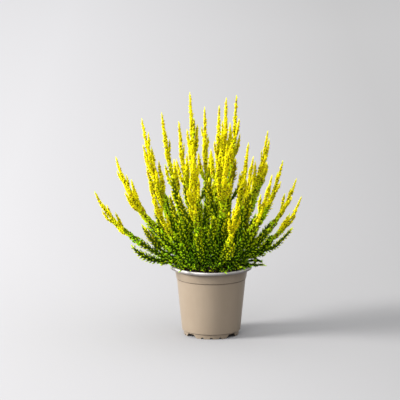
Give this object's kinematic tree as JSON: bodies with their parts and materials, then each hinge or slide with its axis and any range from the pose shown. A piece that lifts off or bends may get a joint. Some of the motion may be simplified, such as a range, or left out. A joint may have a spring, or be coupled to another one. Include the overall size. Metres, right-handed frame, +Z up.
{
  "type": "potted heather",
  "caption": "Potted heather: a dense dome of upright knobbly shoots, green at the foot and golden yellow above, in a tapered plastic nursery pot with a rolled lip and notched foot",
  "frame": {"origin": "centre of the flat pad under the pot's floor, level with the foot ring, where the pot stands", "axes": "+Z up out of the pot; -Y towards the viewer of the picture; the dome of shoots reaches a little further towards -X"},
  "size_m": [0.3185, 0.295, 0.373],
  "materials": {
    "pot": "satin taupe moulded plastic",
    "soil": "damp dark peat with fine crumbs",
    "green_foliage": "small matte scale leaves on brown stems",
    "golden_foliage": "small matte yellow scale leaves and buds"
  },
  "bodies": {
    "root": {"pot": "pot", "potting_soil": "soil", "green_spray_01": "green_foliage", "green_spray_02": "green_foliage", "green_spray_03": "green_foliage", "green_spray_04": "green_foliage", "green_spray_05": "green_foliage", "green_spray_06": "green_foliage", "green_spray_07": "green_foliage", "green_spray_08": "green_foliage", "green_spray_09": "green_foliage", "green_spray_10": "green_foliage", "green_spray_11": "green_foliage", "green_spray_12": "green_foliage", "green_spray_13": "green_foliage", "green_spray_14": "green_foliage", "green_spray_15": "green_foliage", "green_spray_16": "green_foliage", "green_spray_17": "green_foliage", "green_spray_18": "green_foliage", "green_spray_19": "green_foliage", "green_spray_20": "green_foliage", "green_spray_21": "green_foliage", "green_spray_22": "green_foliage", "green_spray_23": "green_foliage", "green_spray_24": "green_foliage", "green_spray_25": "green_foliage", "green_spray_26": "green_foliage", "green_spray_27": "green_foliage", "green_spray_28": "green_foliage", "golden_spikes_01": "golden_foliage", "golden_spikes_02": "golden_foliage", "golden_spikes_03": "golden_foliage", "golden_spikes_04": "golden_foliage", "golden_spikes_05": "golden_foliage", "golden_spikes_06": "golden_foliage", "golden_spikes_07": "golden_foliage", "golden_spikes_08": "golden_foliage", "golden_spikes_09": "golden_foliage", "golden_spikes_10": "golden_foliage", "golden_spikes_11": "golden_foliage", "golden_spikes_12": "golden_foliage", "golden_spikes_13": "golden_foliage", "golden_spikes_14": "golden_foliage", "golden_spikes_15": "golden_foliage", "golden_spikes_16": "golden_foliage", "golden_spikes_17": "golden_foliage", "golden_spikes_18": "golden_foliage", "golden_spikes_19": "golden_foliage", "golden_spikes_20": "golden_foliage", "golden_spikes_21": "golden_foliage", "golden_spikes_22": "golden_foliage", "golden_spikes_23": "golden_foliage", "golden_spikes_24": "golden_foliage", "golden_spikes_25": "golden_foliage", "golden_spikes_26": "golden_foliage", "golden_spikes_27": "golden_foliage", "golden_spikes_28": "golden_foliage"}
  },
  "joints": []
}
